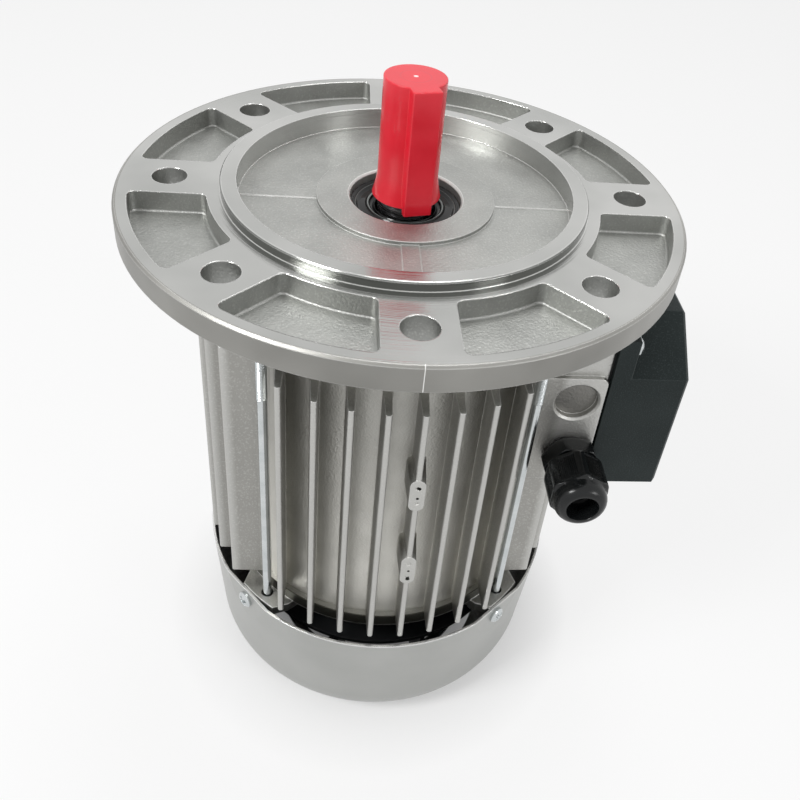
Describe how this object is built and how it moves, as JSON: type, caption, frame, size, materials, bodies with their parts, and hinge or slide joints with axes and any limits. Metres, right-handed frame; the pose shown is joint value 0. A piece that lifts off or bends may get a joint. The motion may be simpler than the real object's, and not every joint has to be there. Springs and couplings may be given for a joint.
{
  "type": "flange-mounted electric motor",
  "caption": "Finned aluminium induction motor with a round mounting flange and spigot, side terminal box with cable gland, fan cover, and a red sleeve on its shaft.",
  "frame": {"origin": "centre of the flange's mounting face, on the shaft axis", "axes": "+Z out along the shaft, away from the motor; +X towards the terminal box; -Y is the side the cable gland points to"},
  "size_m": [0.2055, 0.2, 0.2682],
  "materials": {
    "cast_aluminium": "satin cast, machined faces brighter",
    "aluminium_cage": "as cast",
    "silver_paint": "satin silver",
    "zinc": "bright zinc plate",
    "spring_steel": "satin",
    "machined_steel": "ground",
    "core_sheet": "stacked sheet edges",
    "bearing_steel": "polished",
    "winding_copper": "varnished enamelled copper",
    "black_nylon": "semi-gloss moulded",
    "board_plastic": "satin moulded",
    "lid_plastic": "fine texture",
    "black_rubber": "matt",
    "red_plastic": "smooth gloss",
    "terminal_brass": "satin"
  },
  "bodies": {
    "housing": {"flange_end_shield": "cast_aluminium", "stator_frame": "cast_aluminium", "rear_end_shield": "cast_aluminium", "fan_cover": "silver_paint", "fan_cover_screws": "zinc", "stator_core": "core_sheet", "stator_winding": "winding_copper", "drive_bearing_outer_ring": "bearing_steel", "rear_bearing_outer_ring": "bearing_steel", "preload_washer": "spring_steel", "oil_seal": "black_rubber", "tie_rods": "zinc", "tie_rod_nuts": "zinc", "terminal_box_lid": "lid_plastic", "lid_gasket": "black_rubber", "lid_screws": "zinc", "terminal_board": "board_plastic", "terminal_studs": "terminal_brass", "terminal_nuts": "terminal_brass", "terminal_links": "terminal_brass", "earth_screw": "terminal_brass", "gland_washer": "black_rubber", "gland_body": "black_nylon", "gland_seal": "black_rubber"},
    "rotor": {"rotor_shaft": "machined_steel", "shaft_key": "machined_steel", "rotor_core": "core_sheet", "rotor_cage": "aluminium_cage", "drive_bearing_inner_ring": "bearing_steel", "rear_bearing_inner_ring": "bearing_steel", "cooling_fan": "black_nylon", "fan_clip": "spring_steel"},
    "drive_ball_set": {"drive_bearing_balls": "bearing_steel", "drive_bearing_cage": "bearing_steel"},
    "rear_ball_set": {"rear_bearing_balls": "bearing_steel", "rear_bearing_cage": "bearing_steel"},
    "sleeve": {"shaft_sleeve": "red_plastic"},
    "clamping_nut": {"gland_nut": "black_nylon"}
  },
  "joints": [
    {"name": "rotor_spin", "type": "hinge", "parent": "housing", "child": "rotor", "pos_m": [0, 0, 0], "axis": [0, 0, 1], "continuous": true},
    {"name": "drive_balls_roll", "type": "hinge", "parent": "housing", "child": "drive_ball_set", "pos_m": [0, 0, -0.022], "axis": [0, 0, 1], "continuous": true},
    {"name": "rear_balls_roll", "type": "hinge", "parent": "housing", "child": "rear_ball_set", "pos_m": [0, 0, -0.174], "axis": [0, 0, 1], "continuous": true},
    {"name": "sleeve_pull", "type": "slide", "parent": "rotor", "child": "sleeve", "axis": [0, 0, 1], "range_m": [0, 0.045]},
    {"name": "gland_nut_turn", "type": "hinge", "parent": "housing", "child": "clamping_nut", "pos_m": [0.0672, -0.0634, -0.0876], "axis": [0, -1, 0], "range_deg": [-360, 0]}
  ],
  "couplings": [
    {"joint": "drive_balls_roll", "follows": "rotor_spin", "ratio": 0.3815},
    {"joint": "rear_balls_roll", "follows": "rotor_spin", "ratio": 0.3816}
  ]
}
